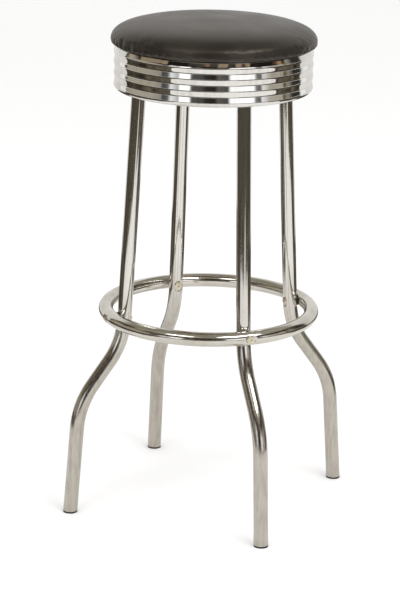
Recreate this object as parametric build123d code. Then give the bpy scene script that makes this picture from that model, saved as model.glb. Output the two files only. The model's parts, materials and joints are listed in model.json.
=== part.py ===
"""Chrome diner bar stool: four bent tube legs, a bolted foot ring and a padded seat that swivels.

Millimetres, +Z up. The origin is on the floor, under the centre of the seat.
The legs stand on +X (right), +Y (back), -X (left) and -Y (front).
"""
import os
from math import cos, hypot, radians, sin, sqrt

from build123d import *

# Overall sizes
rim_height = 825.0            # floor to the top of the ribbed band
band_height = 76.0
band_radius = 171.8           # outside, on the crest of a rib
crown_height = 46.0           # top of the cushion above the band
foot_radius = 257.7           # stool axis to the middle of a foot
ring_height = 352.0           # floor to the middle of the foot ring
ring_radius = 181.9           # to the middle of the ring's tube

# Tube
tube_od = 25.0
tube_wall = 1.5

# Leg line, in the upright plane of each leg
leg_end_radius = 30.0         # inner end, under the leg plate
leg_to_lip = 15.5             # leg's outside to the band's lip, at the shoulder
leg_shoulder_bend = 32.0
ring_nest = 1.5               # how far the ring's tube sits into the leg's tube
knee_below_ring = 45.0
knee_bend = 139.0
ankle_radius = 242.3
ankle_height = 198.4
ankle_bend = 148.0

# Sheet metal band
sheet = 1.2
rib_depth = 1.8
rib_count = 3                 # grooves round the band
rib_bend = 5.0
top_rib_drop = 10.0           # rim to the first crest
rib_pitch = 19.4
rim_inset = 4.0               # top edge inside the crests, so the first slope is steeper
rim_bend = 2.6
skirt_bend = 8.0              # rounded bottom corner
rim_turn = 3.2                # top edge, turned in over the bend
flange_width = 14.6           # flat ring under the cushion that the turned edge is welded to
lip_width = 7.0               # bottom edge, turned in just past its bend

# Cushion
cushion_overhang = 5.7        # widest part of the cushion past the band's crest
bulge_height = 9.0            # widest part above the band
crown_fullness = 0.72         # how square the cushion's shoulder is, from 0 to 1
cover_thickness = 1.2
hem_width = 28.0              # cover turned in under the pad board
pad_board_inset = 3.8         # pad board's edge inside the band's crest
pad_board_thickness = 9.0
staple_count = 24
staple_crown = 12.0
staple_wire = 0.6
staple_width = 1.0
staple_leg = 6.0
staple_inset = 5.0            # from the hem's inner edge

# Boards and plates under the seat
base_board_thickness = 15.0
base_board_gap = 2.6          # base board's edge to the inside of the band's rim
pad_screw_radius = 2.0
pad_screw_head_radius = 4.0
pad_screw_head_height = 2.4
pad_screw_bite = 6.5
pad_screw_inset = 8.0         # from the inside of the band's rim

# Swivel
swivel_height = 12.0
swivel_half_width = 75.0
swivel_corner = 10.0
plate_sheet = 2.5
ball_radius = 3.5
ball_count = 14
race_radius = 45.0
race_half_width = 7.0
race_clearance = 0.08         # ball to groove
retainer_thickness = 1.0
race_to_retainer = 0.5
retainer_half_width = 5.0
retainer_clearance = 0.25     # ball to its pocket
pin_radius = 8.0
pin_bore = 6.0
pin_flange = 12.0
pin_flange_thickness = 1.5
running_clearance = 0.05      # swivel pin to the turning plate and washer
pin_room = 4.0                # round the pin's flange
swivel_bolt_offset = 55.0     # bolts through the still plate, on both X and Y
top_screw_offset = 66.0       # screws through the turning plate, on both X and Y
top_screw_radius = 2.0
top_screw_head_radius = 3.8
top_screw_head_height = 2.0
top_screw_bite = 11.0

# Leg plate and its fasteners
leg_plate_corner = 15.0
leg_plate_thickness = 4.0
bolt_radius = 3.0             # M6 shank
bolt_clearance = 0.3          # shank to its hole
bolt_from_leg_end = 13.0
bolt_from_shoulder = 60.0     # keeps the outer bolt on the leg's straight run
bolt_from_plate_edge = 15.0
countersink_radius = 6.0
button_head_radius = 5.2
button_head_height = 3.0
socket_radius = 2.2           # to the corners of a hex socket
socket_depth = 2.0
nut_radius = 5.7              # to the corners of a nut
nut_height = 5.0
thread_clearance = 0.05
bolt_past_nut = 2.0
saddle_radius = 7.5
saddle_thickness = 2.0

# Ring fasteners
ring_bolt_head_radius = 7.0
ring_bolt_head_height = 1.8
ring_socket_depth = 1.26
ring_seat_depth = 2.3         # flat dimple that the head sinks into
ring_seat_margin = 0.7
sleeve_radius = 4.2
sleeve_clearance = 0.15
sleeve_past_leg = 4.0
sleeve_web = 1.0              # solid behind the sleeve nut's head, before its thread
thread_overlap = 12.0
spacer_thickness = 1.5
spacer_radius = 9.5

# Feet
foot_flange = 2.6
plug_length = 20.0
plug_clearance = 0.1

# Derived levels
flange_bottom = rim_height - sheet
base_board_bottom = flange_bottom - base_board_thickness
swivel_bottom = base_board_bottom - swivel_height
leg_plate_bottom = swivel_bottom - leg_plate_thickness
tube_radius = tube_od / 2
bore_radius = tube_radius - tube_wall
leg_top = leg_plate_bottom - tube_radius
pad_bottom = rim_height + cover_thickness
pad_top = pad_bottom + pad_board_thickness
rim_inner = band_radius - rim_inset - sheet
pad_board_radius = band_radius - pad_board_inset
leg_at_ring = ring_radius - (tube_od - ring_nest)
lip_radius = band_radius - rib_depth - lip_width
leg_shoulder_radius = lip_radius - leg_to_lip - tube_radius
leg_bolt_radii = (leg_end_radius + bolt_from_leg_end, leg_shoulder_radius - bolt_from_shoulder)
leg_plate_half_width = leg_bolt_radii[1] + bolt_from_plate_edge
ball_height = swivel_bottom + swivel_height / 2
past = 1.0                    # how far a cutting shape runs on past what it cuts
LEGS = {"right": 0, "back": 90, "left": 180, "front": 270}
DIAGONALS = (45, 135, 225, 315)


def cylinder(radius, low, high, at=(0, 0)):
    """An upright cylinder between two heights."""
    return Pos(at[0], at[1], low) * Cylinder(
        radius, high - low, align=(Align.CENTER, Align.CENTER, Align.MIN)
    )


def radial_cylinder(radius, inner, outer, height):
    """A cylinder lying along +X between two distances from the stool's axis."""
    return Pos(inner, 0, height) * Rot(0, 90, 0) * Cylinder(
        radius, outer - inner, align=(Align.CENTER, Align.CENTER, Align.MIN)
    )


def turned(*lines):
    """A solid of revolution about +Z from a closed outline in the XZ plane."""
    return revolve(make_face(lines), Axis.Z)


def ring_of(shape, angles):
    """Copies of a shape turned about +Z, as one group of separate solids."""
    return Compound([Rot(0, 0, angle) * shape for angle in angles])


def polar(radius, angle):
    return radius * cos(radians(angle)), radius * sin(radians(angle))


# Band, boards and cushion ---------------------------------------------------------------------

def sheet_back(line, bends):
    """The back of a bent sheet: its outline moved over by the thickness, with matching bends."""
    sides = []
    for (x0, z0), (x1, z1) in zip(line, line[1:]):
        run = hypot(x1 - x0, z1 - z0)
        sides.append(((z1 - z0) / run, (x0 - x1) / run))
    back = []
    back_bends = []
    for index, (x, z) in enumerate(line):
        before = sides[max(index - 1, 0)]
        after = sides[min(index, len(sides) - 1)]
        step = sheet / (1 + before[0] * after[0] + before[1] * after[1])
        back.append((x + step * (before[0] + after[0]), z + step * (before[1] + after[1])))
        if 0 < index < len(line) - 1:
            turn = before[0] * after[1] - before[1] * after[0]
            back_bends.append(bends[index - 1] + (sheet if turn > 0 else -sheet))
    return back, back_bends


def make_band():
    """Ribbed band: turned rim, zigzag ribs with soft crests, rounded corner and bottom lip."""
    groove = band_radius - rib_depth
    rim = band_radius - rim_inset
    outline = [(rim - rim_turn, rim_height), (rim, rim_height)]
    bends = [rim_bend]
    for rib in range(rib_count + 1):
        crest = rim_height - top_rib_drop - rib * rib_pitch
        outline.append((band_radius, crest))
        bends.append(rib_bend)
        if rib < rib_count:
            outline.append((groove, crest - rib_pitch / 2))
            bends.append(rib_bend)
    bottom = rim_height - band_height
    outline += [(groove + sheet, bottom), (groove - lip_width, bottom)]
    bends.append(skirt_bend)
    inside, inside_bends = sheet_back(outline, bends)
    loop = outline + inside[::-1]
    return turned(
        *FilletPolyline(
            *[(x, 0, z) for x, z in loop], radius=[0, *bends, 0, 0, *inside_bends[::-1], 0],
            close=True,
        ).edges()
    )


def cushion_form(inset):
    """Crowned cushion, drawn in from its outside by inset on every side."""
    widest = band_radius + cushion_overhang - inset
    flat = pad_board_radius
    bulge = rim_height + bulge_height
    floor = rim_height + inset
    top = rim_height + crown_height - inset
    return turned(
        Line((0, 0, floor), (flat, 0, floor)),
        EllipticalCenterArc(
            (flat, bulge), widest - flat, bulge - floor, start_angle=270, arc_size=90
        ).moved(Rot(90, 0, 0)),
        Bezier(
            (widest, 0, bulge), (widest, 0, bulge + crown_fullness * (top - bulge)),
            (crown_fullness * widest, 0, top), (0, 0, top),
        ),
        Line((0, 0, top), (0, 0, floor)),
    )


def staple():
    """One staple with its crown under the hem, on +X, legs up into the pad board."""
    middle = pad_board_radius - hem_width + staple_inset
    crown = Pos(middle, 0, rim_height - staple_wire) * Box(
        staple_width, staple_crown, staple_wire, align=(Align.CENTER, Align.CENTER, Align.MIN)
    )
    tip = pad_bottom + staple_leg
    legs = [
        Pos(middle, side * (staple_crown - staple_wire) / 2, rim_height) * Box(
            staple_width, staple_wire, tip - rim_height,
            align=(Align.CENTER, Align.CENTER, Align.MIN),
        )
        for side in (-1, 1)
    ]
    return crown + legs


def make_seat():
    """Everything that turns with the seat, apart from the swivel's upper plate."""
    parts = {}
    staples = ring_of(staple(), [360 / staple_count * (i + 0.5) for i in range(staple_count)])
    screw_at = [polar(rim_inner - pad_screw_inset, angle) for angle in DIAGONALS]
    screw_tip = pad_bottom + pad_screw_bite
    holes = [
        cylinder(pad_screw_radius + thread_clearance, base_board_bottom, screw_tip + past, at)
        for at in screw_at
    ]
    screws = [
        cylinder(pad_screw_head_radius, base_board_bottom - pad_screw_head_height,
                 base_board_bottom, at) + cylinder(pad_screw_radius, base_board_bottom, screw_tip, at)
        for at in screw_at
    ]
    core = cushion_form(cover_thickness)
    board = cylinder(pad_board_radius, pad_bottom, pad_top)
    hem_hole = cylinder(pad_board_radius - hem_width, rim_height - past, pad_bottom)
    parts["seat_cover"] = cushion_form(0) - core - hem_hole - staples.solids() - holes
    parts["seat_foam"] = core - board
    parts["pad_board"] = board - staples.solids() - holes
    parts["cover_staples"] = staples
    ring_edge = band_radius - rim_inset - rim_turn
    parts["seat_band"] = make_band()
    parts["band_ring"] = (
        cylinder(ring_edge, flange_bottom, rim_height)
        - cylinder(ring_edge - flange_width, flange_bottom, rim_height) - holes
    )
    top_holes = [
        cylinder(top_screw_radius + thread_clearance, base_board_bottom - past,
                 base_board_bottom + top_screw_bite + past, polar(top_screw_offset * sqrt(2), angle))
        for angle in DIAGONALS
    ]
    parts["base_board"] = (
        cylinder(rim_inner - base_board_gap, base_board_bottom, flange_bottom)
        - cylinder(pin_flange + pin_room, base_board_bottom, flange_bottom)
        - holes - top_holes
    )
    parts["pad_screws"] = Compound(screws)
    return parts


# Swivel ---------------------------------------------------------------------------------------

def swivel_plate(low, race_side):
    """Square pressed plate with a raised ball race; race_side is 1 above the plate, -1 below."""
    plate = Pos(0, 0, low) * extrude(
        RectangleRounded(2 * swivel_half_width, 2 * swivel_half_width, swivel_corner), plate_sheet
    )
    race_top = ball_height - race_side * (retainer_thickness / 2 + race_to_retainer)
    base = low + plate_sheet if race_side > 0 else low
    race_low, race_high = sorted((base, race_top))
    race = cylinder(race_radius + race_half_width, race_low, race_high)
    race -= cylinder(race_radius - race_half_width, race_low, race_high)
    groove = Pos(0, 0, ball_height) * Torus(race_radius, ball_radius + race_clearance)
    return plate + race - groove


def hexagon(radius, low, high, at=(0, 0)):
    return Pos(at[0], at[1], low) * extrude(RegularPolygon(radius, 6), high - low)


def make_swivel():
    """Two pressed plates, a caged ring of balls between them and a flanged pin in the middle."""
    parts = {}
    top_low = base_board_bottom - plate_sheet
    pin_foot = swivel_bottom - pin_flange_thickness
    washer_low = base_board_bottom + running_clearance
    washer_high = washer_low + pin_flange_thickness
    lower = swivel_plate(swivel_bottom, 1) - cylinder(
        pin_radius + thread_clearance / 2, pin_foot, ball_height
    )
    upper = swivel_plate(top_low, -1) - cylinder(
        pin_radius + running_clearance, ball_height, base_board_bottom
    )
    bolt_at = [polar(swivel_bolt_offset * sqrt(2), angle) for angle in DIAGONALS]
    screw_at = [polar(top_screw_offset * sqrt(2), angle) for angle in DIAGONALS]
    for at in bolt_at:
        lower -= cylinder(bolt_radius + bolt_clearance, swivel_bottom, ball_height, at)
    for at in screw_at:
        upper -= cylinder(top_screw_radius + bolt_clearance, top_low, base_board_bottom, at)
    parts["swivel_bottom_plate"] = lower
    parts["swivel_top_plate"] = upper
    ball_angles = [360 / ball_count * i for i in range(ball_count)]
    retainer_low = ball_height - retainer_thickness / 2
    retainer_high = ball_height + retainer_thickness / 2
    retainer = cylinder(race_radius + retainer_half_width, retainer_low, retainer_high)
    retainer -= cylinder(race_radius - retainer_half_width, retainer_low, retainer_high)
    for angle in ball_angles:
        at = polar(race_radius, angle)
        retainer -= cylinder(ball_radius + retainer_clearance, retainer_low, retainer_high, at)
    parts["ball_retainer"] = retainer
    parts["bearing_balls"] = ring_of(Pos(race_radius, 0, ball_height) * Sphere(ball_radius), ball_angles)
    pin_top = washer_high + pin_flange_thickness
    parts["swivel_pin"] = (
        cylinder(pin_radius, pin_foot, pin_top)
        + cylinder(pin_flange, pin_foot, swivel_bottom)
        + cylinder(pin_flange, washer_high, pin_top)
        - cylinder(pin_bore, pin_foot, pin_top)
    )
    parts["swivel_washer"] = cylinder(pin_flange, washer_low, washer_high) - cylinder(
        pin_radius + running_clearance, washer_low, washer_high
    )
    plate_top = swivel_bottom + plate_sheet
    nut_low = leg_plate_bottom - nut_height
    bolts = []
    nuts = []
    for at in bolt_at:
        shank = cylinder(bolt_radius, nut_low - bolt_past_nut, plate_top, at)
        head = cylinder(button_head_radius, plate_top, plate_top + button_head_height, at)
        socket = hexagon(socket_radius, plate_top + button_head_height - socket_depth,
                         plate_top + button_head_height, at)
        bolts.append(shank + head - socket)
        nuts.append(hexagon(nut_radius, nut_low, leg_plate_bottom, at)
                    - cylinder(bolt_radius + thread_clearance, nut_low, leg_plate_bottom, at))
    parts["swivel_bolts"] = Compound(bolts)
    parts["swivel_nuts"] = Compound(nuts)
    parts["swivel_top_screws"] = Compound([
        cylinder(top_screw_head_radius, top_low - top_screw_head_height, top_low, at)
        + cylinder(top_screw_radius, top_low, base_board_bottom + top_screw_bite, at)
        for at in screw_at
    ])
    return parts


# Legs and foot ring ---------------------------------------------------------------------------

def leg_path(start, end):
    """The middle line of a leg, from its inner top end down to the floor, with drawn-out ends."""
    slope = (leg_shoulder_radius - leg_at_ring) / (leg_top - ring_height)
    knee_height = ring_height - knee_below_ring
    knee_radius = leg_at_ring - slope * knee_below_ring
    drift = (foot_radius - ankle_radius) / ankle_height
    return FilletPolyline(
        (leg_end_radius - start, 0, leg_top),
        (leg_shoulder_radius, 0, leg_top),
        (knee_radius, 0, knee_height),
        (ankle_radius, 0, ankle_height),
        (foot_radius + drift * end, 0, -end),
        radius=[leg_shoulder_bend, knee_bend, ankle_bend],
    )


def swept_tube(path, radius):
    return sweep(Plane(origin=path @ 0, z_dir=path % 0) * Circle(radius), path=path)


def ring_tube(radius):
    return Pos(0, 0, ring_height) * Torus(ring_radius, radius)


def leg_bolt_holes():
    radius = bolt_radius + bolt_clearance
    return [
        cylinder(radius, leg_top - tube_od, swivel_bottom, (reach, 0)) for reach in leg_bolt_radii
    ]


def make_leg():
    """One leg on +X: hollow, pressed in where the ring nests and where the nut's head sits."""
    long_leg = plug_length
    outside = swept_tube(leg_path(0, long_leg), tube_radius)
    inside = swept_tube(leg_path(long_leg, long_leg), bore_radius)
    saddle = tube_radius + spacer_thickness
    outside -= ring_tube(saddle)
    inside -= ring_tube(saddle + tube_wall)
    seat = leg_at_ring - tube_radius + ring_seat_depth
    seat_radius = ring_bolt_head_radius + ring_seat_margin
    outside -= radial_cylinder(seat_radius, seat - tube_od, seat, ring_height)
    inside -= radial_cylinder(seat_radius + tube_wall, seat - tube_od, seat + tube_wall, ring_height)
    leg = outside - inside
    leg -= radial_cylinder(sleeve_radius + sleeve_clearance, seat - past, ring_radius, ring_height)
    leg -= leg_bolt_holes()
    below = foot_flange - 2 * plug_length
    return leg - cylinder(tube_od, below, foot_flange, (foot_radius, 0))


def make_foot_plug():
    """Plug with a flat foot: a skirt as wide as the tube and a stem inside it."""
    path = leg_path(0, plug_length)
    skirt = swept_tube(path, tube_radius) & cylinder(tube_od, 0, foot_flange, (foot_radius, 0))
    stem = swept_tube(path, bore_radius - plug_clearance)
    stem &= cylinder(tube_od, foot_flange, foot_flange + plug_length, (foot_radius, 0))
    return skirt + stem


def ring_quarter(radius):
    """A quarter of a round bar bent to the ring, centred on +X."""
    section = Plane.XZ * Pos(ring_radius, ring_height) * Circle(radius)
    return Rot(0, 0, -45) * revolve(section, Axis.Z, 90)


def make_ring():
    """Closed tube ring in four quarters, each with a flat dimple outside and a hole through it."""
    seat = ring_radius + tube_radius - ring_seat_depth
    seat_radius = ring_bolt_head_radius + ring_seat_margin
    outside = ring_quarter(tube_radius) - radial_cylinder(
        seat_radius, seat, seat + tube_od, ring_height
    )
    inside = ring_quarter(bore_radius) - radial_cylinder(
        seat_radius + tube_wall, seat - tube_wall, seat + tube_od, ring_height
    )
    quarter = outside - inside
    quarter -= radial_cylinder(
        sleeve_radius + sleeve_clearance, leg_at_ring, ring_radius - past, ring_height
    )
    quarter -= radial_cylinder(
        bolt_radius + bolt_clearance, ring_radius + past, seat + past, ring_height
    )
    ring = quarter
    for angle in (90, 180, 270):
        ring += Rot(0, 0, angle) * quarter
    return ring


def make_spacer():
    """Thin saddle between leg and ring, curved to the ring."""
    disc = radial_cylinder(spacer_radius, leg_at_ring, ring_radius, ring_height)
    disc &= ring_tube(tube_radius + spacer_thickness)
    disc -= ring_tube(tube_radius)
    return disc - radial_cylinder(
        sleeve_radius + sleeve_clearance, leg_at_ring, ring_radius, ring_height
    )


def make_ring_bolt():
    """Flat head in the ring's dimple, shank running in to the sleeve nut."""
    seat = ring_radius + tube_radius - ring_seat_depth
    end = ring_radius - tube_radius + sleeve_past_leg - thread_overlap
    top = seat + ring_bolt_head_height
    socket = Pos(top - ring_socket_depth, 0, ring_height) * Rot(0, 90, 0) * extrude(
        RegularPolygon(socket_radius, 6), ring_socket_depth
    )
    bolt = radial_cylinder(ring_bolt_head_radius, seat, top, ring_height)
    return bolt + radial_cylinder(bolt_radius, end, seat, ring_height) - socket


def make_sleeve_nut():
    """Flat head in the leg's dimple, threaded sleeve through leg and spacer into the ring."""
    seat = leg_at_ring - tube_radius + ring_seat_depth
    end = ring_radius - tube_radius + sleeve_past_leg
    low = seat - ring_bolt_head_height
    nut = radial_cylinder(ring_bolt_head_radius, low, seat, ring_height)
    nut += radial_cylinder(sleeve_radius, seat, end, ring_height)
    nut -= radial_cylinder(bolt_radius + thread_clearance, seat + sleeve_web, end, ring_height)
    socket = Pos(low, 0, ring_height) * Rot(0, 90, 0) * extrude(
        RegularPolygon(socket_radius, 6), ring_socket_depth
    )
    return nut - socket


def make_leg_fasteners():
    """Countersunk screws down through plate and legs, with shaped washers and nuts below."""
    screws = []
    washers = []
    nuts = []
    washer_low = leg_top - tube_radius - saddle_thickness
    nut_low = washer_low - nut_height
    cone = countersink_radius - bolt_radius
    tube = Rot(0, 90, 0) * Cylinder(tube_radius + thread_clearance, 4 * leg_shoulder_radius)
    for reach in leg_bolt_radii:
        at = (reach, 0)
        shank = cylinder(bolt_radius, nut_low - bolt_past_nut, swivel_bottom - cone, at)
        head = Pos(reach, 0, swivel_bottom - cone) * Cone(
            bolt_radius, countersink_radius, cone, align=(Align.CENTER, Align.CENTER, Align.MIN)
        )
        socket = hexagon(socket_radius, swivel_bottom - socket_depth, swivel_bottom, at)
        screws.append(shank + head - socket)
        washer = cylinder(saddle_radius, washer_low, leg_top, at) - Pos(0, 0, leg_top) * tube
        washers.append(washer - cylinder(bolt_radius + bolt_clearance, washer_low, leg_top, at))
        nuts.append(hexagon(nut_radius, nut_low, washer_low, at)
                    - cylinder(bolt_radius + thread_clearance, nut_low, washer_low, at))
    angles = LEGS.values()
    groups = {"leg_screws": screws, "leg_washers": washers, "leg_nuts": nuts}
    return {
        name: Compound([Rot(0, 0, angle) * piece for angle in angles for piece in pieces])
        for name, pieces in groups.items()
    }


def make_leg_plate():
    """Square plate over the legs' inner ends, countersunk for the leg screws."""
    plate = Pos(0, 0, leg_plate_bottom) * extrude(
        RectangleRounded(2 * leg_plate_half_width, 2 * leg_plate_half_width, leg_plate_corner),
        leg_plate_thickness,
    )
    plate -= cylinder(pin_flange + pin_room / 2, leg_plate_bottom, swivel_bottom)
    cone = countersink_radius - bolt_radius
    for angle in LEGS.values():
        for reach in leg_bolt_radii:
            at = polar(reach, angle)
            plate -= cylinder(bolt_radius + bolt_clearance, leg_plate_bottom, swivel_bottom, at)
            plate -= Pos(at[0], at[1], swivel_bottom - cone) * Cone(
                bolt_radius, countersink_radius, cone, align=(Align.CENTER, Align.CENTER, Align.MIN)
            )
    for angle in DIAGONALS:
        at = polar(swivel_bolt_offset * sqrt(2), angle)
        plate -= cylinder(bolt_radius + bolt_clearance, leg_plate_bottom, swivel_bottom, at)
    return plate


def make_base():
    """Everything that stands still."""
    parts = {"leg_plate": make_leg_plate(), "foot_ring": make_ring()}
    per_leg = {"leg": make_leg(), "ring_spacer": make_spacer(), "foot_plug": make_foot_plug()}
    for name, piece in per_leg.items():
        for side, angle in LEGS.items():
            parts[f"{name}_{side}"] = Rot(0, 0, angle) * piece
    parts["ring_bolts"] = ring_of(make_ring_bolt(), LEGS.values())
    parts["ring_sleeve_nuts"] = ring_of(make_sleeve_nut(), LEGS.values())
    parts.update(make_leg_fasteners())
    return parts


def main():
    os.makedirs("parts", exist_ok=True)
    parts = {**make_seat(), **make_swivel(), **make_base()}
    for name, piece in parts.items():
        export_step(piece, f"parts/{name}.step")
    print(len(parts), "sub-parts")


main()
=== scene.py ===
"""Chrome bar stool in a plain studio: the visible pieces, their materials, the lights and the camera.

Metres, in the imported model's own frame: +Z up, legs on +X, +Y, -X and -Y, origin on the floor.
"""
import json
from math import atan2, cos, pi, radians, sin, tan

import bmesh
import bpy
import numpy as np
from mathutils import Matrix, Vector


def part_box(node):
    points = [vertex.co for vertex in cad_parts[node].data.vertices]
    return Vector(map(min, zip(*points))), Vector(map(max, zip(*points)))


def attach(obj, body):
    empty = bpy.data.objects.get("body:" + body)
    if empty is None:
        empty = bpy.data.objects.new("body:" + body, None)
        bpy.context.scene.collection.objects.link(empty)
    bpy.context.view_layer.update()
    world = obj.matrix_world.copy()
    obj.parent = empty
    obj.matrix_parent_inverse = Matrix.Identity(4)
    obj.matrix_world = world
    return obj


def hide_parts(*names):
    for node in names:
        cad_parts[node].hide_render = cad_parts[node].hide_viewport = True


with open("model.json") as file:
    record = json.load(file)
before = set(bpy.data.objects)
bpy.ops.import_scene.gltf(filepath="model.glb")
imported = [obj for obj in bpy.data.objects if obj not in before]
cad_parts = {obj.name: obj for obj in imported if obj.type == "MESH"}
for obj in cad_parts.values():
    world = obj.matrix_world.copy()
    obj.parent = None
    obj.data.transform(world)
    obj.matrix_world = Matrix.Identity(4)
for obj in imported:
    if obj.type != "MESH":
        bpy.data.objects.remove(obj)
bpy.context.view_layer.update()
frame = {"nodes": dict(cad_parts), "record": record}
MM = 0.001


def reach(node):
    """How far a CAD node gets from the stool's axis."""
    return max(vertex.co.xy.length for vertex in frame["nodes"][node].data.vertices)


# Sizes, from the frame where it has them ------------------------------------------------------

ring_low, ring_high = (corner.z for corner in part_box("foot_ring"))
RING_HEIGHT = (ring_low + ring_high) / 2
TUBE = (ring_high - ring_low) / 2
RING = reach("foot_ring") - TUBE
BAND_LOW, RIM = (corner.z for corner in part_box("seat_band"))
BAND = reach("seat_band")
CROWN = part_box("seat_cover")[1].z
CUSHION = reach("seat_cover")
LEG_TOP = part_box("leg_plate")[0].z - TUBE
LEG_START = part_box("leg_right")[0].x
FOOT_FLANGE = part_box("leg_right")[0].z
SIDES = {"right": 0, "back": 90, "left": 180, "front": 270}

# Sizes that the frame doesn't hold by themselves: the CAD model's own, in metres

WALL = 1.5 * MM
FOOT = 257.7 * MM             # stool axis to the middle of a foot
SHOULDER = 135.0 * MM         # stool axis to the corner under the seat
LEG_TO_RING = 23.5 * MM       # middle of a leg to the middle of the ring's tube
KNEE_DROP = 45.0 * MM         # knee below the ring
ANKLE = (242.3 * MM, 198.4 * MM)
LEG_BENDS = (32.0 * MM, 139.0 * MM, 148.0 * MM)
SPACER = 1.5 * MM             # between leg and ring
SEAT_DEPTH = 2.3 * MM         # flat dimple under a ring bolt's head
HEAD = 7.0 * MM               # radius of a ring bolt's head
HEAD_HEIGHT = 1.8 * MM
SOCKET = 2.2 * MM             # to the corners of the hex socket
SHEET = 1.2 * MM              # the band's metal
RIB_DEPTH = 1.8 * MM
RIB_PITCH = 19.4 * MM
RIBS = 4                      # crests round the band
FIRST_CREST = 10.0 * MM       # below the rim
RIM_INSET = 4.0 * MM
FLANGE = 18.0 * MM            # flat ring under the cushion, in from the rim's corner
LIP = 7.0 * MM                # bottom edge, turned in
RIM_BEND, RIB_BEND, SKIRT_BEND = 2.6 * MM, 9.0 * MM, 8.0 * MM
BULGE = 9.0 * MM              # the cushion's widest part, above the rim
CROWN_FULLNESS = 0.72
HEM = 28.0 * MM               # cover turned in under the pad board
PAD_BOARD = 168.0 * MM
HEM_LIFT = 0.2 * MM           # keeps the hem off the band

# The picture's camera, as seen from the stool
VIEW_TURN = radians(22.5)     # the camera stands this far round from -Y, towards -X
CAMERA_DISTANCE = 3.804
CAMERA_HEIGHT = 1.507
CAMERA_DIP = radians(16.68)
CAMERA_YAW = radians(-0.23)
CAMERA_ROLL = radians(1.15)
CAMERA_LENS = 134.4


# Mesh helpers ---------------------------------------------------------------------------------

def mesh_piece(name, vertices, faces, sharp=35, uvs=None):
    """A mesh object with outward normals, smooth except along edges sharper than an angle."""
    mesh = bpy.data.meshes.new(name)
    mesh.from_pydata([tuple(v) for v in vertices], [], faces)
    if uvs is not None:
        layer = mesh.uv_layers.new(name="UVMap")
        corners = np.empty(len(mesh.loops), dtype=np.int32)
        mesh.loops.foreach_get("vertex_index", corners)
        layer.data.foreach_set("uv", np.asarray(uvs, dtype=np.float32)[corners].ravel())
    work = bmesh.new()
    work.from_mesh(mesh)
    bmesh.ops.recalc_face_normals(work, faces=work.faces)
    work.to_mesh(mesh)
    work.free()
    mesh.polygons.foreach_set("use_smooth", [True] * len(mesh.polygons))
    mesh.set_sharp_from_angle(angle=radians(sharp))
    piece = bpy.data.objects.new(name, mesh)
    bpy.context.scene.collection.objects.link(piece)
    return piece


def skin(rows, closed=False, caps=True):
    """Quads between rows of points that each go once round; the ends are capped or joined."""
    count, around = rows.shape[:2]
    faces = []
    for row in range(count if closed else count - 1):
        below = row * around
        above = (row + 1) % count * around
        for step in range(around):
            after = (step + 1) % around
            faces.append((below + step, below + after, above + after, above + step))
    if caps and not closed:
        faces.append(tuple(range(around))[::-1])
        faces.append(tuple((count - 1) * around + step for step in range(around)))
    return rows.reshape(-1, 3), faces


def row_uvs(rows):
    """U goes round each row and V runs along them in metres."""
    count, around = rows.shape[:2]
    middles = rows.mean(axis=1)
    along = np.concatenate([[0], np.cumsum(np.linalg.norm(np.diff(middles, axis=0), axis=1))])
    u = np.tile(np.abs(np.linspace(-1, 1, around)), count)
    return np.stack([u, np.repeat(along, around)], axis=1)


def bent_line(corners, bends, step):
    """Points and directions along straight runs joined by tangent arcs, in a plane."""
    corners = [np.array(corner, dtype=float) for corner in corners]
    points, ways = [], []
    start = corners[0]
    for index, corner in enumerate(corners[1:]):
        before = (corner - corners[index]) / np.linalg.norm(corner - corners[index])
        if index < len(bends):
            after = corners[index + 2] - corner
            after /= np.linalg.norm(after)
            cross = before[0] * after[1] - before[1] * after[0]
            turn = atan2(cross, before @ after)
            setback = bends[index] * tan(abs(turn) / 2)
        else:
            turn = setback = 0
        end = corner - before * setback
        pieces = max(int(np.linalg.norm(end - start) / step), 1)
        for part in range(pieces):
            points.append(start + (end - start) * part / pieces)
            ways.append(before)
        if turn:
            side = 1 if turn > 0 else -1
            normal = side * np.array([-before[1], before[0]])
            middle = end + normal * bends[index]
            pieces = max(int(abs(turn) * bends[index] / step), 6)
            for part in range(pieces):
                angle = turn * part / pieces
                spin = np.array([[cos(angle), -sin(angle)], [sin(angle), cos(angle)]])
                points.append(middle - spin @ normal * bends[index])
                ways.append(spin @ before)
            start = corner + after * setback
        else:
            start = end
    points.append(corners[-1])
    ways.append(ways[-1])
    return np.array(points), np.array(ways)


def lathe(profile, around=256):
    """Rows of points for a profile of (radius, height) turned about +Z."""
    angles = np.arange(around) * 2 * pi / around
    profile = np.asarray(profile)
    rows = np.empty((len(profile), around, 3))
    rows[:, :, 0] = profile[:, :1] * np.cos(angles)
    rows[:, :, 1] = profile[:, :1] * np.sin(angles)
    rows[:, :, 2] = profile[:, 1:]
    return rows


def smoothstep(low, high, value):
    t = np.clip((value - low) / (high - low), 0, 1)
    return t * t * (3 - 2 * t)


def turned_about_z(points, angle):
    spin = np.array([[cos(angle), -sin(angle), 0], [sin(angle), cos(angle), 0], [0, 0, 1]])
    return points @ spin.T


def press_flat(points, level, side):
    """Presses a round flat seat of the bolt head's size into a tube, across the bolt's axis +X."""
    flat_margin, blend_margin = 0.6 * MM, 3.4 * MM
    off_axis = np.hypot(points[..., 1], points[..., 2] - RING_HEIGHT)
    keep = smoothstep(HEAD + flat_margin, HEAD + blend_margin, off_axis)
    proud = (points[..., 0] - level) * side
    pressed = level + (points[..., 0] - level) * keep
    points[..., 0] = np.where((proud > 0) & (off_axis < 2 * HEAD), pressed, points[..., 0])


# Pieces ---------------------------------------------------------------------------------------

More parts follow.
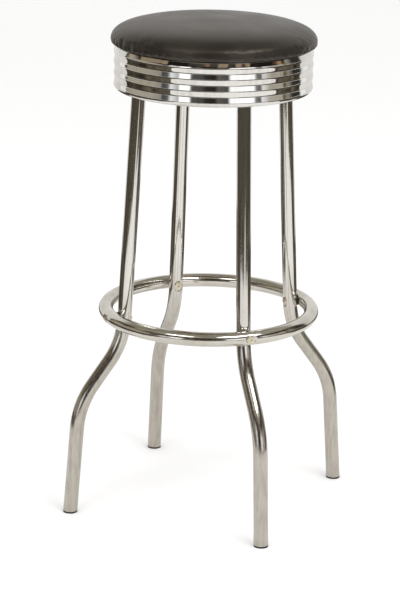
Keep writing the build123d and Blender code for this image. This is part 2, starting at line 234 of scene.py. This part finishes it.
def leg_rows(around=56):
    """One leg on +X, from its open inner end down to its foot, dented round ring and bolt head."""
    at_ring = RING - LEG_TO_RING
    slope = (SHOULDER - at_ring) / (LEG_TOP - RING_HEIGHT)
    knee = (at_ring - slope * KNEE_DROP, RING_HEIGHT - KNEE_DROP)
    corners = [(LEG_START, LEG_TOP), (SHOULDER, LEG_TOP), knee, ANKLE, (FOOT, 0)]
    line, ways = bent_line(corners, LEG_BENDS, 1.5 * MM)
    kept = line[:, 1] > FOOT_FLANGE + 1 * MM
    line, ways = line[kept], ways[kept]
    last = line[-1] + ways[-1] * (line[-1, 1] - FOOT_FLANGE) / -ways[-1, 1]
    edge = 0.4 * MM
    bore = TUBE - WALL
    bore_seen = (30 * MM, 12 * MM)
    line = np.vstack([
        line[0] + ways[0] * bore_seen[0], line[0], line[0], line[0] + ways[0] * edge, line[2:],
        last - ways[-1] * edge, last, last, last - ways[-1] * bore_seen[1],
    ])
    ways = np.vstack([np.repeat(ways[:1], 4, axis=0), ways[2:], np.repeat(ways[-1:], 4, axis=0)])
    radii = np.full(len(line), TUBE)
    radii[[0, 1, -2, -1]] = bore
    radii[[2, -3]] = TUBE - edge
    angles = np.arange(around) * 2 * pi / around
    rows = np.empty((len(line), around, 3))
    rows[:, :, 0] = line[:, :1] + radii[:, None] * np.cos(angles) * ways[:, 1:]
    rows[:, :, 1] = radii[:, None] * np.sin(angles)
    rows[:, :, 2] = line[:, 1:] - radii[:, None] * np.cos(angles) * ways[:, :1]

    # The foot's end is cut level with the floor, not square to the tube
    off_level = rows[-4:, :, 2] - line[-4:, 1:]
    rows[-4:, :, 2] -= off_level
    rows[-4:, :, 0] += off_level * ways[-1, 0] / -ways[-1, 1]

    outside = slice(3, -3)
    nest_round_ring(rows[outside])
    press_flat(rows[outside], at_ring - TUBE + SEAT_DEPTH, -1)
    return rows


def nest_round_ring(points):
    """Pushes points out of the ring's tube and its spacer, with a soft edge to the dent."""
    saddle = TUBE + SPACER
    soft = 0.5 * MM
    flat = np.hypot(points[..., 0], points[..., 1])
    away = np.stack([flat - RING, points[..., 2] - RING_HEIGHT], axis=-1)
    gap = np.linalg.norm(away, axis=-1)
    near = gap < saddle + 6 * soft
    pushed = saddle + soft * np.log1p(np.exp(np.clip((gap - saddle) / soft, -30, 30)))
    scale = np.where(near, pushed / np.maximum(gap, 1e-6), 1)
    new_flat = RING + away[..., 0] * scale
    points[..., 0] *= new_flat / flat
    points[..., 1] *= new_flat / flat
    points[..., 2] = RING_HEIGHT + away[..., 1] * scale


def make_legs():
    rows = leg_rows()
    uvs = row_uvs(rows)
    for side, angle in SIDES.items():
        points, faces = skin(turned_about_z(rows, radians(angle)))
        leg = mesh_piece(f"leg_tube_{side}", points, faces, uvs=uvs)
        leg.data.materials.append(MATERIALS["leg_chrome"])
        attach(leg, "frame")
        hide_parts(f"leg_{side}")


def make_ring(around=64):
    """The foot ring, with points close together where the four bolt heads are pressed in."""
    near, fine, coarse = 4.5, 0.25, 1.5       # degrees
    quarter = np.concatenate([
        np.arange(-near, near, fine), np.arange(near, 90 - near, coarse),
    ])
    turns = np.radians(np.concatenate([quarter + 90 * k for k in range(4)]))
    angles = np.arange(around) * 2 * pi / around
    rows = np.empty((len(turns), around, 3))
    rows[:, :, 0] = RING + TUBE * np.cos(angles)
    rows[:, :, 1] = 0
    rows[:, :, 2] = RING_HEIGHT + TUBE * np.sin(angles)
    for index, turn in enumerate(turns):
        rows[index] = turned_about_z(rows[index], turn)
    for angle in SIDES.values():
        local = turned_about_z(rows, -radians(angle))
        press_flat(local, RING + TUBE - SEAT_DEPTH, 1)
        rows = turned_about_z(local, radians(angle))
    points, faces = skin(rows, closed=True)
    u = np.tile(np.abs(np.linspace(-1, 1, around)), len(turns))
    v = np.repeat(np.abs(turns - pi) * RING, around)
    ring = mesh_piece("foot_ring_tube", points, faces, uvs=np.stack([u, v], axis=1))
    ring.data.materials.append(MATERIALS["ring_chrome"])
    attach(ring, "frame")
    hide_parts("foot_ring")


def hexagon(radius, around):
    """Distance from the middle to the side of a hexagon, all round."""
    angles = np.arange(around) * 2 * pi / around
    return radius * cos(pi / 6) / np.cos((angles + pi / 6) % (pi / 3) - pi / 6)


def make_ring_fasteners(around=48):
    """Flat socket heads of the ring bolts outside, and of their sleeve nuts inside the legs."""
    chamfer, dome, break_edge = 0.35 * MM, 0.15 * MM, 0.1 * MM
    socket_floor = 0.4 * MM
    top = HEAD_HEIGHT
    circle = np.ones(around)
    hex_mouth = hexagon(SOCKET + 0.25 * MM, around)
    hex_wall = hexagon(SOCKET, around)
    outer_seat = RING + TUBE - SEAT_DEPTH
    inner_seat = RING - LEG_TO_RING - TUBE + SEAT_DEPTH
    # name: node, the seat's place on +X, the way the head faces, shank radius and length, turn
    sets = {
        "ring_bolt_heads": ("ring_bolts", outer_seat, 1, 3.0 * MM, 38 * MM, 0.0),
        "sleeve_nut_heads": ("ring_sleeve_nuts", inner_seat, -1, 4.2 * MM, 24 * MM, 0.4),
    }
    for name, (node, seat, side, shank, length, twist) in sets.items():
        steps = [
            (-length, shank * circle), (0, shank * circle), (0, HEAD * circle),
            (top - chamfer, HEAD * circle), (top - break_edge, (HEAD - 0.7 * chamfer) * circle),
            (top, (HEAD - 2 * chamfer) * circle), (top + dome, 0.6 * HEAD * circle),
            (top + dome, hex_mouth), (top - break_edge, hex_wall), (socket_floor, hex_wall),
        ]
        angles = np.arange(around) * 2 * pi / around + twist
        rows = np.empty((len(steps), around, 3))
        for index, (along, radius) in enumerate(steps):
            rows[index, :, 0] = seat + side * along
            rows[index, :, 1] = radius * np.cos(angles)
            rows[index, :, 2] = RING_HEIGHT + radius * np.sin(angles)
        vertices, faces = [], []
        for angle in SIDES.values():
            points, quads = skin(turned_about_z(rows, radians(angle)))
            start = sum(len(v) for v in vertices)
            vertices.append(points)
            faces += [tuple(start + corner for corner in face) for face in quads]
        heads = mesh_piece(name, np.vstack(vertices), faces, sharp=30)
        heads.data.materials.append(MATERIALS["nickel_fastener"])
        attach(heads, "frame")
        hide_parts(node)


def make_band():
    """The ribbed band as one bent sheet: flange, rim, ribs, rounded bottom corner and lip."""
    groove = BAND - RIB_DEPTH
    edge = BAND - RIM_INSET
    corners = [(edge - FLANGE, RIM), (edge, RIM)]
    bends = [RIM_BEND]
    for rib in range(RIBS):
        crest = RIM - FIRST_CREST - rib * RIB_PITCH
        corners.append((BAND, crest))
        bends.append(RIB_BEND)
        if rib < RIBS - 1:
            corners.append((groove, crest - RIB_PITCH / 2))
            bends.append(RIB_BEND)
    corners += [(groove + SHEET, BAND_LOW), (groove - LIP, BAND_LOW)]
    bends.append(SKIRT_BEND)
    line, ways = bent_line(corners, bends, 0.9 * MM)
    inward = np.stack([ways[:, 1], -ways[:, 0]], axis=1)
    back = line + inward * SHEET
    rows = lathe(np.vstack([line, back[::-1]]), around=300)
    points, faces = skin(rows, closed=True)
    band = mesh_piece("seat_band_sheet", points, faces, sharp=50)
    band.data.materials.append(MATERIALS["band_chrome"])
    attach(band, "seat")
    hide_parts("seat_band", "band_ring")


def cushion_profile():
    """Crown, bulging edge, tucked-in underside and hem, as (radius, height) from the middle out."""
    bulge = RIM + BULGE
    floor = RIM + HEM_LIFT
    shoulder = bulge + CROWN_FULLNESS * (CROWN - bulge)
    ends = np.array([(0, CROWN), (CROWN_FULLNESS * CUSHION, CROWN), (CUSHION, shoulder), (CUSHION, bulge)])
    t = (1 - (1 - np.linspace(0, 1, 60)) ** 1.25)[:, None]
    crown = ((1 - t) ** 3 * ends[0] + 3 * (1 - t) ** 2 * t * ends[1]
             + 3 * (1 - t) * t ** 2 * ends[2] + t ** 3 * ends[3])
    dip = np.linspace(0, pi / 2, 16)[1:]
    under = np.stack([
        PAD_BOARD + (CUSHION - PAD_BOARD) * np.cos(dip), bulge - (bulge - floor) * np.sin(dip)
    ], axis=1)
    hem = np.array([(PAD_BOARD - 8 * MM, floor), (PAD_BOARD - HEM, floor)])
    return np.vstack([crown[1:], under, hem])


def make_cushion():
    """Stuffed vinyl cushion: pulled over its foam by cloth simulation, then gathered at the rim."""
    rows = lathe(cushion_profile(), around=720)
    rows += stuffing(rows)
    rows[..., 2] = np.maximum(rows[..., 2], RIM + HEM_LIFT)
    pleat(rows)
    points, faces = skin(rows)
    cushion = mesh_piece("cushion", points, faces, sharp=80)
    cushion.data.materials.append(MATERIALS["black_vinyl"])
    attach(cushion, "seat")
    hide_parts("seat_cover", "seat_foam")


def settled_shift(rows, frames=20):
    """How far each point of a cover moves when it is blown up over its pinned hem."""
    points, faces = skin(rows)
    cover = mesh_piece("cover_to_settle", points, faces)
    pinned = [index for index, point in enumerate(points) if point[2] < RIM + 3.0 * MM]
    cover.vertex_groups.new(name="hem").add(pinned, 1.0, "REPLACE")
    settings = cover.modifiers.new("Cloth", "CLOTH").settings
    settings.vertex_group_mass = "hem"
    settings.quality = 6
    settings.mass = 0.35
    settings.tension_stiffness = settings.compression_stiffness = 20
    settings.shear_stiffness = 8
    settings.bending_stiffness = 0.6
    settings.shrink_min = -0.008
    settings.use_pressure = True
    settings.uniform_pressure_force = 3
    settings.effector_weights.gravity = 0
    scene = bpy.context.scene
    for number in range(1, frames + 1):
        scene.frame_set(number)
    settled = cover.evaluated_get(bpy.context.evaluated_depsgraph_get()).to_mesh()
    moved = np.empty(len(points) * 3)
    settled.vertices.foreach_get("co", moved)
    bpy.data.objects.remove(cover)
    scene.frame_set(1)
    return moved.reshape(rows.shape) - rows


def stuffing(rows, skip=(2, 4), most=1.2 * MM):
    """The simulated cover's unevenness, mostly at the edge, capped and smoothed for finer rows."""
    draw = np.random.default_rng(3)
    coarse = rows[::skip[0], ::skip[1]].copy()
    coarse += draw.normal(0, 0.08 * MM, coarse.shape)
    shift = settled_shift(coarse)
    count, coarse_around = coarse.shape[:2]

    # The even part of the swelling goes, because the profile already has the cushion's shape
    turns = np.arange(coarse_around) * 2 * pi / coarse_around
    outward = np.stack([np.cos(turns), np.sin(turns), 0 * turns], axis=1)
    radial = (shift * outward).sum(axis=-1, keepdims=True)
    shift -= radial.mean(axis=1, keepdims=True) * outward
    shift[..., 2] -= shift[..., 2].mean(axis=1, keepdims=True)

    # The top stays nearly smooth, and no point moves further than the cap
    edge_top, crown_start, left_on_crown = 8 * MM, 32 * MM, 0.08
    height = coarse[..., 2:] - RIM
    shift *= 1 - (1 - left_on_crown) * smoothstep(edge_top, crown_start, height)
    length = np.linalg.norm(shift, axis=-1, keepdims=True)
    shift *= np.tanh(length / most) * most / np.maximum(length, 1e-9)

    # From the coarse rows to the fine ones: by waves round them, and straight along them
    around = rows.shape[1]
    wave = np.fft.rfft(shift, axis=1)
    finer = np.fft.irfft(wave, n=around, axis=1) * around / coarse_around
    at = np.arange(len(rows)) / skip[0]
    low = np.minimum(at.astype(int), count - 1)
    high = np.minimum(low + 1, count - 1)
    part = (at - low)[:, None, None]
    full = finer[low] * (1 - part) + finer[high] * part
    for _ in range(2):
        full[1:-1] = (full[:-2] + 2 * full[1:-1] + full[2:]) / 4
    return full


def pleat(rows, number=150):
    """Draws radial gathers into the cushion's edge, deepest at the rim and fading up the side.

    The cover is gathered hardest over one stretch, to the left as the camera sees it.
    """
    draw = np.random.default_rng(7)
    count, around = rows.shape[:2]
    angles = np.arange(around) * 2 * pi / around
    radius = np.hypot(rows[..., 0], rows[..., 1])
    height = rows[..., 2] - RIM
    depth = np.zeros((count, around))
    hard_middle = 1.5 * pi - VIEW_TURN - radians(66)
    hard_reach = radians(38)
    for index in range(number):
        middle = 2 * pi * (index + draw.uniform(-0.4, 0.4)) / number
        width = draw.uniform(0.8, 1.6) * MM
        top = draw.uniform(4, 8) * MM
        deep = draw.uniform(0.4, 1.1) * MM
        full_depth_to = 0.1
        off = abs((middle - hard_middle + pi) % (2 * pi) - pi)
        if off < hard_reach and draw.random() < 0.7:
            top = draw.uniform(15, 28) * MM
            deep = draw.uniform(2.2, 4.2) * MM * (1 - off / radians(50))
            width *= 2.2
            full_depth_to = 0.55
        lean = draw.normal(0, 0.12)
        away = np.abs((angles - middle + pi) % (2 * pi) - pi) * CUSHION
        line = np.exp(-np.abs(away[None, :] - lean * height) / width)
        depth += deep * line * (1 - smoothstep(full_depth_to * top, top, height))
    gathered_from = 120 * MM
    shrink = 1 - np.where(radius > gathered_from, depth, 0) / radius
    rows[..., 0] *= shrink
    rows[..., 1] *= shrink


# Materials ------------------------------------------------------------------------------------

class Shading:
    """A node tree being built: each node is added with its settings, values and links at once."""

    def __init__(self, tree):
        self.tree = tree

    def add(self, kind, sockets=None, **settings):
        node = self.tree.nodes.new("ShaderNode" + kind)
        for key, value in settings.items():
            setattr(node, key, value)
        for key, value in (sockets or {}).items():
            if isinstance(value, bpy.types.NodeSocket):
                self.tree.links.new(value, node.inputs[key])
            else:
                node.inputs[key].default_value = value
        return node

    def spread(self, value, low, high, to_low, to_high):
        """A value from low to high, spread over another range and clamped to it."""
        sockets = {0: value, 1: low, 2: high, 3: to_low, 4: to_high}
        return self.add("MapRange", sockets).outputs[0]

    def math(self, operation, a, b):
        return self.add("Math", {0: a, 1: b}, operation=operation).outputs[0]

    def blend(self, factor, a, b):
        """A colour between a and b, each a node's output or red, green and blue."""
        a, b = (end if isinstance(end, bpy.types.NodeSocket) else (*end, 1) for end in (a, b))
        return self.add("Mix", {0: factor, 6: a, 7: b}, data_type="RGBA").outputs[2]


class Look(Shading):
    """A material being built, from its name and its shader's even values."""

    def __init__(self, name, **values):
        self.material = bpy.data.materials.new(name)
        self.material.use_nodes = True
        super().__init__(self.material.node_tree)
        self.shader = self.tree.nodes["Principled BSDF"]
        for socket, value in values.items():
            self.shader.inputs[socket.replace("_", " ")].default_value = value
        self.object_space = self.add("TexCoord").outputs["Object"]

    def into(self, output, socket):
        self.tree.links.new(output, self.shader.inputs[socket])

    def stretched(self, scale, source=None):
        return self.add("Mapping", {"Vector": source or self.object_space, "Scale": scale}).outputs[0]

    def noise(self, scale, detail=3.0, vector=None, rough=0.5):
        where = vector or self.object_space
        sockets = {"Vector": where, "Scale": scale, "Detail": detail, "Roughness": rough}
        return self.add("TexNoise", sockets).outputs["Fac"]

    def bump(self, height, distance, strength=1.0, under=None):
        sockets = {"Height": height, "Distance": distance, "Strength": strength}
        if under is not None:
            sockets["Normal"] = under
        return self.add("Bump", sockets).outputs[0]


def chrome(name, bright, dull, polish, worn, wear_and_shade_height=None, pits=0.0, waves=0.02):
    """Plated steel: mirror bright, going dull, warm and pitted where it is worn; with a height band, darker
    towards the bottom, partly wear and partly painted shade.
    """
    look = Look(name, Metallic=1.0)
    cloud = look.noise(14.0, 4.0)
    fine = look.noise(220.0, 3.0)
    if wear_and_shade_height is None:
        wear_and_shade = look.spread(cloud, 0.42, 0.68, 0.0, 1.0)
    else:
        # Below this band the legs' colour is darker: partly real wear, partly painted shade that dims the
        # floor they reflect.
        low, high = wear_and_shade_height
        height = look.add("SeparateXYZ", {0: look.object_space}).outputs["Z"]
        down = look.spread(height, high, low, 0.0, 1.0)
        wear_and_shade = look.spread(look.math("ADD", down, look.math("MULTIPLY", cloud, 0.6)), 0.4, 1.2, 0.0, 1.0)
    streaks = look.noise(1.0, 4.0, vector=look.stretched((170.0, 170.0, 30.0)))
    stained = look.blend(look.spread(streaks, 0.42, 0.66, 0.0, 1.0), dull, tuple(0.82 * c for c in dull))
    # The darker colour where the mask is high is worn plating; on the legs' lower part it is also painted
    # shade.
    look.into(look.blend(wear_and_shade, bright, stained), "Base Color")
    drawn = look.noise(1.0, 2.0, vector=look.stretched((60.0, 60.0, 8.0)))
    rough = look.spread(fine, 0.3, 0.7, polish, polish * 1.8)
    rough_worn = look.spread(fine, 0.3, 0.7, worn * 0.8, worn * 1.35)
    blended = look.add("Mix", {0: wear_and_shade, 2: rough, 3: rough_worn}).outputs[0]
    look.into(blended, "Roughness")
    normal = look.bump(drawn, waves * MM)
    if pits:
        spots = look.add("TexVoronoi", {"Vector": look.object_space, "Scale": 420.0}).outputs["Distance"]
        small = look.spread(spots, 0.08, 0.22, 0.0, 1.0)
        shown = look.spread(look.noise(60.0, 2.0), 0.45, 0.6, 0.0, 1.0)
        pitted = look.math("MAXIMUM", small, look.math("SUBTRACT", 1.0, look.math("MULTIPLY", shown, wear_and_shade)))
        normal = look.bump(pitted, pits * MM, under=normal)
    look.into(normal, "Normal")
    return look.material


def vinyl():
    """Black upholstery vinyl: fine leather grain with a soft, slightly uneven sheen."""
    look = Look("black_vinyl", Coat_Weight=0.1, Coat_Roughness=0.3, Specular_Tint=(1.0, 0.82, 0.66, 1.0))
    cloud = look.noise(18.0, 3.0)
    look.into(look.blend(look.spread(cloud, 0.35, 0.65, 0.0, 1.0), (0.010, 0.009, 0.008),
                         (0.018, 0.016, 0.014)), "Base Color")
    cells = look.add("TexVoronoi", {"Vector": look.object_space, "Scale": 650.0},
                     feature="DISTANCE_TO_EDGE").outputs["Distance"]
    grain = look.spread(cells, 0.0, 0.25, 0.0, 1.0)
    fine = look.noise(1400.0, 2.0)
    look.into(look.spread(cloud, 0.3, 0.7, 0.33, 0.42), "Roughness")
    normal = look.bump(grain, 0.03 * MM, 0.6)
    look.into(look.bump(fine, 0.01 * MM, 0.6, under=normal), "Normal")
    return look.material


def plywood():
    look = Look("plywood")
    long_grain = look.noise(1.0, 5.0, vector=look.stretched((18.0, 260.0, 600.0)))
    tone = look.spread(long_grain, 0.3, 0.7, 0.0, 1.0)
    look.into(look.blend(tone, (0.44, 0.29, 0.16), (0.66, 0.50, 0.32)), "Base Color")
    look.into(look.spread(long_grain, 0.3, 0.7, 0.55, 0.75), "Roughness")
    look.into(look.bump(long_grain, 0.2 * MM), "Normal")
    return look.material


def zinc(name, tone, rough):
    """Zinc-plated steel with a faint crystalline mottling."""
    look = Look(name, Metallic=1.0)
    mottle = look.noise(180.0, 4.0)
    cloud = look.noise(25.0, 3.0)
    look.into(look.blend(look.spread(cloud, 0.35, 0.65, 0.0, 1.0), tone,
                         tuple(0.8 * c for c in tone)), "Base Color")
    look.into(look.spread(mottle, 0.3, 0.7, 0.8 * rough, 1.3 * rough), "Roughness")
    look.into(look.bump(mottle, 0.02 * MM), "Normal")
    return look.material


def black_finish(name, tone, rough, grain_scale, grain_depth):
    """Black paint, rubber or plastic: dusty tone changes over a fine skin."""
    look = Look(name)
    dust = look.noise(40.0, 4.0)
    look.into(look.blend(look.spread(dust, 0.45, 0.75, 0.0, 1.0), tone,
                         tuple(2.2 * c for c in tone)), "Base Color")
    look.into(look.spread(dust, 0.3, 0.7, 0.85 * rough, 1.15 * rough), "Roughness")
    look.into(look.bump(look.noise(grain_scale, 3.0), grain_depth * MM), "Normal")
    return look.material


def make_materials():
    clean = (0.82, 0.81, 0.79)
    return {
        "black_vinyl": vinyl(),
        "plywood": plywood(),
        # The legs' dull colour below the height band is partly wear and partly painted shade.
        "leg_chrome": chrome("leg_chrome", clean, (0.60, 0.57, 0.52), 0.06, 0.18,
                             wear_and_shade_height=(0.26, 0.44), pits=0.003, waves=0.003),
        "ring_chrome": chrome("ring_chrome", (0.74, 0.72, 0.68), (0.60, 0.57, 0.50), 0.08, 0.15,
                              pits=0.01, waves=0.004),
        "band_chrome": chrome("band_chrome", (0.86, 0.86, 0.85), (0.8, 0.79, 0.77), 0.03, 0.05,
                              waves=0.015),
        "nickel_fastener": chrome("nickel_fastener", (0.80, 0.74, 0.60), (0.6, 0.52, 0.38),
                                  0.16, 0.3, waves=0.01),
        "zinc_fastener": zinc("zinc_fastener", (0.62, 0.63, 0.64), 0.3),
        "zinc_plate": zinc("zinc_plate", (0.56, 0.57, 0.58), 0.35),
        "ball_steel": zinc("ball_steel", (0.7, 0.7, 0.7), 0.12),
        "staple_wire": zinc("staple_wire", (0.6, 0.6, 0.58), 0.3),
        "black_paint": black_finish("black_paint", (0.012, 0.012, 0.012), 0.35, 900.0, 0.03),
        "spacer_plastic": black_finish("spacer_plastic", (0.01, 0.01, 0.01), 0.5, 1500.0, 0.02),
        "foot_rubber": black_finish("foot_rubber", (0.012, 0.012, 0.012), 0.7, 1200.0, 0.05),
        "foam": black_finish("foam", (0.35, 0.3, 0.2), 0.9, 600.0, 0.3),
    }


def dress_cad_nodes():
    """Gives each CAD node its slot's material and smooth shading between sharp edges."""
    slots = {part["node"]: part["material_slot"] for part in frame["record"]["subparts"]}
    for name, node in frame["nodes"].items():
        node.data.materials.clear()
        node.data.materials.append(MATERIALS[slots[name]])
        node.data.polygons.foreach_set("use_smooth", [True] * len(node.data.polygons))
        node.data.set_sharp_from_angle(angle=radians(30))


# Studio ---------------------------------------------------------------------------------------

# What the chrome sees all round at eye height: degrees from the camera's side, brightness,
# warmth from 0 to 1, and how high up, as the sine of the elevation, that stretch goes.
ROOM = (
    (-180, 0.82, 0.3, 0.66), (-123, 0.72, 0.3, 0.66), (-121, 0.06, 2.0, 0.6), (-117, 0.2, 3.4, 0.5),
    (-114, 0.40, 1.4, 0.28), (-74, 0.40, 1.4, 0.28), (-62, 0.30, 1.0, 0.28),
    (-60, 0.05, -1.0, 0.28), (-53, 0.12, 0.0, 0.28), (-49, 0.9, 0.0, 0.3),
    (-40, 0.5, 0.0, 0.3), (-38, 1.4, 0.0, 0.3), (-27, 1.4, 0.0, 0.3),
    (-25, 0.10, 0.5, 0.28), (-12, 0.07, 0.5, 0.3), (-8, 0.03, 1.0, 0.3), (2, 0.02, 1.0, 0.3),
    (6, 0.12, 1.0, 0.3), (17, 0.08, 0.5, 0.28), (20, 1.2, 0.0, 0.32),
    (47, 1.3, 0.0, 0.32), (50, 0.25, 0.3, 0.28), (56, 0.12, 0.6, 0.28), (58, 0.9, 0.0, 0.28),
    (68, 0.45, 1.2, 0.28), (86, 0.42, 1.2, 0.28), (88, 0.10, 4.0, 0.28), (95, 0.30, 1.2, 0.4),
    (103, 0.03, 1.0, 0.5), (117, 0.04, 1.0, 0.5),
    (121, 0.72, 0.3, 0.66), (180, 0.82, 0.3, 0.66),
)


def tinted(brightness, warmth):
    return (brightness, brightness * (1 - 0.07 * warmth), brightness * (1 - 0.2 * warmth))


def ramp(shading, stops, factor):
    """A colour ramp with stops of (degrees, colour), where -180 to 180 degrees is its whole width."""
    node = shading.add("ValToRGB", {0: factor})
    elements = node.color_ramp.elements
    while len(elements) > 1:
        elements.remove(elements[-1])
    for index, (turn, colour) in enumerate(stops):
        place = turn / 360 + 0.5
        stop = elements[0] if index == 0 else elements.new(place)
        stop.position = place
        stop.color = (*colour, 1)
    return node.outputs[0]


def mirrored_room(shading):
    """The room's colour by direction: walls from ROOM, shelves above them, then a dim ceiling."""
    where = shading.add("TexCoord").outputs["Generated"]
    facing = shading.add("VectorRotate", {"Vector": where, "Angle": VIEW_TURN}, rotation_type="Z_AXIS")
    parts = shading.add("SeparateXYZ", {0: facing.outputs[0]})
    toward = shading.math("MULTIPLY", parts.outputs["Y"], -1.0)
    angle = shading.math("ARCTAN2", parts.outputs["X"], toward)
    turn = shading.add("Math", {0: angle, 1: 1 / (2 * pi), 2: 0.5}, operation="MULTIPLY_ADD").outputs[0]
    wall = ramp(shading, [(at, tinted(bright, warm)) for at, bright, warm, _ in ROOM], turn)
    wall_top = ramp(shading, [(at, (top, top, top)) for at, _, _, top in ROOM], turn)
    rise = shading.math("SUBTRACT", parts.outputs["Z"], wall_top)
    above_wall = shading.spread(rise, -0.02, 0.04, 0.0, 1.0)
    clutter = shading.add("TexNoise", {"Vector": where, "Scale": 3.0, "Detail": 2.0}).outputs["Fac"]
    ceiling = ramp(shading, [(-60, (0.2, 0.19, 0.15)), (60, (0.42, 0.4, 0.33))], clutter)
    cells = shading.add("TexVoronoi", {"Vector": where, "Scale": 7.0}, feature="SMOOTH_F1")
    shelf_colours = [
        (-20, (0.012, 0.01, 0.008)), (2, (0.03, 0.026, 0.02)),
        (14, (0.2, 0.09, 0.03)), (30, (0.3, 0.24, 0.16)),
    ]
    shelves = ramp(shading, shelf_colours, cells.outputs["Distance"])
    above_shelves = shading.spread(parts.outputs["Z"], 0.52, 0.66, 0.0, 1.0)
    return shading.blend(above_wall, wall, shading.blend(above_shelves, shelves, ceiling))


def make_world():
    """Plain white to the eye and for soft light; the chrome mirrors a dim room with windows."""
    world = bpy.data.worlds.new("studio")
    bpy.context.scene.world = world
    world.use_nodes = True
    world.node_tree.nodes.clear()
    shading = Shading(world.node_tree)
    mirrored = shading.add("Background", {"Color": mirrored_room(shading), "Strength": 1.0})
    plain = shading.add("Background", {"Color": (1.0, 1.0, 1.0, 1.0), "Strength": 1.0})
    ray = shading.add("LightPath").outputs["Is Glossy Ray"]
    both = shading.add("MixShader", {0: ray, 1: plain.outputs[0], 2: mirrored.outputs[0]})
    shading.add("OutputWorld", {"Surface": both.outputs[0]})


def in_view(x, y, z):
    """A point given as seen from the camera (x right, y away) in the model's frame."""
    turn = -VIEW_TURN
    return Vector((x * cos(turn) - y * sin(turn), x * sin(turn) + y * cos(turn), z))


# The dark room floor that the chrome sees: degrees from the camera's side, then where it starts,
# past the studio's pale sweep, and where it ends, in metres from the stool.
ROOM_FLOOR = (
    (-180, 1.15, 2.1), (-120, 1.15, 2.1), (-118, 0.95, 14), (-64, 0.95, 14), (-52, 1.3, 14),
    (-42, 2.4, 14), (13, 2.6, 14), (17, 4.0, 14), (26, 4.0, 14), (30, 2.6, 14), (60, 2.6, 14),
    (74, 1.8, 14), (84, 1.4, 14), (92, 0.95, 14), (118, 0.95, 14), (120, 1.15, 2.1), (180, 1.15, 2.1),
)


def make_floor():
    """Pale floor, and the room's floor and the studio's sweep as only the chrome sees them."""
    size = 40.0
    square = [(-size, -size, 0), (size, -size, 0), (size, size, 0), (-size, size, 0)]
    floor = mesh_piece("floor", square, [(0, 1, 2, 3)])
    pale = Look("pale_floor", Specular_IOR_Level=0.1)
    pale.into(pale.blend(pale.noise(0.8, 2.0), (0.95, 0.948, 0.945), (0.97, 0.968, 0.965)), "Base Color")
    pale.into(pale.spread(pale.noise(40.0, 3.0), 0.3, 0.7, 0.55, 0.65), "Roughness")
    floor.data.materials.append(pale.material)
    room_floor, sweep = make_room_floor(), make_sweep()
    for seen_by_chrome in (room_floor, sweep):
        for ray in ("camera", "diffuse", "shadow", "transmission", "volume_scatter"):
            setattr(seen_by_chrome, f"visible_{ray}", False)


def make_room_floor(parts=180):
    turns = np.linspace(-180, 180, parts + 1)
    stops = np.array(ROOM_FLOOR)
    edges = []
    for column in (1, 2):
        distances = np.interp(turns, stops[:, 0], stops[:, column])
        edges += [
            in_view(away * sin(radians(turn)), -away * cos(radians(turn)), 1 * MM)
            for away, turn in zip(distances, turns)
        ]
    outer = parts + 1
    faces = [(i, i + 1, outer + i + 1, outer + i) for i in range(parts)]
    room_floor = mesh_piece("room_floor", edges, faces)
    look = Look("room_floor", Specular_IOR_Level=0.0)
    patches = look.spread(look.noise(2.2, 3.0), 0.4, 0.62, 0.0, 1.0)
    look.into(look.blend(patches, (0.02, 0.017, 0.012), (0.13, 0.11, 0.08)), "Base Color")
    room_floor.data.materials.append(look.material)
    return room_floor


def make_sweep(radius=14, around=64):
    turns = np.linspace(0, 2 * pi, around, endpoint=False)
    circle = [(radius * cos(turn), radius * sin(turn), 0.5 * MM) for turn in turns]
    sweep = mesh_piece("room_paper", circle, [tuple(range(around))])
    look = Look("room_paper", Specular_IOR_Level=0.0)
    look.into(look.blend(look.noise(3.0, 3.0), (0.66, 0.64, 0.61), (0.8, 0.78, 0.75)), "Base Color")
    sweep.data.materials.append(look.material)
    return sweep


def area_light(name, place, aim, size, power):
    data = bpy.data.lights.new(name, "AREA")
    data.shape = "RECTANGLE"
    data.size, data.size_y = size
    data.energy = power
    light = bpy.data.objects.new(name, data)
    light.location = in_view(*place)
    light.rotation_euler = (in_view(*aim) - light.location).to_track_quat("-Z", "Y").to_euler()
    bpy.context.scene.collection.objects.link(light)


def make_lights():
    """Two softboxes above the camera's left and right, aimed at the middle of the stool's height."""
    middle = (0, 0, 0.7)
    area_light("softbox_left", (-1.35, -1.95, 3.0), middle, (1.4, 0.65), 11)
    area_light("softbox_right", (1.5, -1.7, 3.0), middle, (2.2, 0.65), 35)


def make_camera():
    data = bpy.data.cameras.new("camera")
    data.sensor_width = 36.0
    data.lens = CAMERA_LENS
    camera = bpy.data.objects.new("camera", data)
    ahead = in_view(sin(CAMERA_YAW) * cos(CAMERA_DIP), cos(CAMERA_YAW) * cos(CAMERA_DIP), -sin(CAMERA_DIP))
    level = in_view(cos(CAMERA_YAW), -sin(CAMERA_YAW), 0)
    upward = level.cross(ahead)
    right = cos(CAMERA_ROLL) * level + sin(CAMERA_ROLL) * upward
    up = -sin(CAMERA_ROLL) * level + cos(CAMERA_ROLL) * upward
    turn = Matrix((right, up, -ahead)).transposed().to_4x4()
    camera.matrix_world = Matrix.Translation(in_view(0, -CAMERA_DISTANCE, CAMERA_HEIGHT)) @ turn
    bpy.context.scene.collection.objects.link(camera)
    bpy.context.scene.camera = camera


MATERIALS = make_materials()
make_camera()
make_legs()
make_ring()
make_ring_fasteners()
make_band()
make_cushion()
dress_cad_nodes()
make_world()
make_floor()
make_lights()
bpy.context.scene.view_settings.view_transform = "Standard"
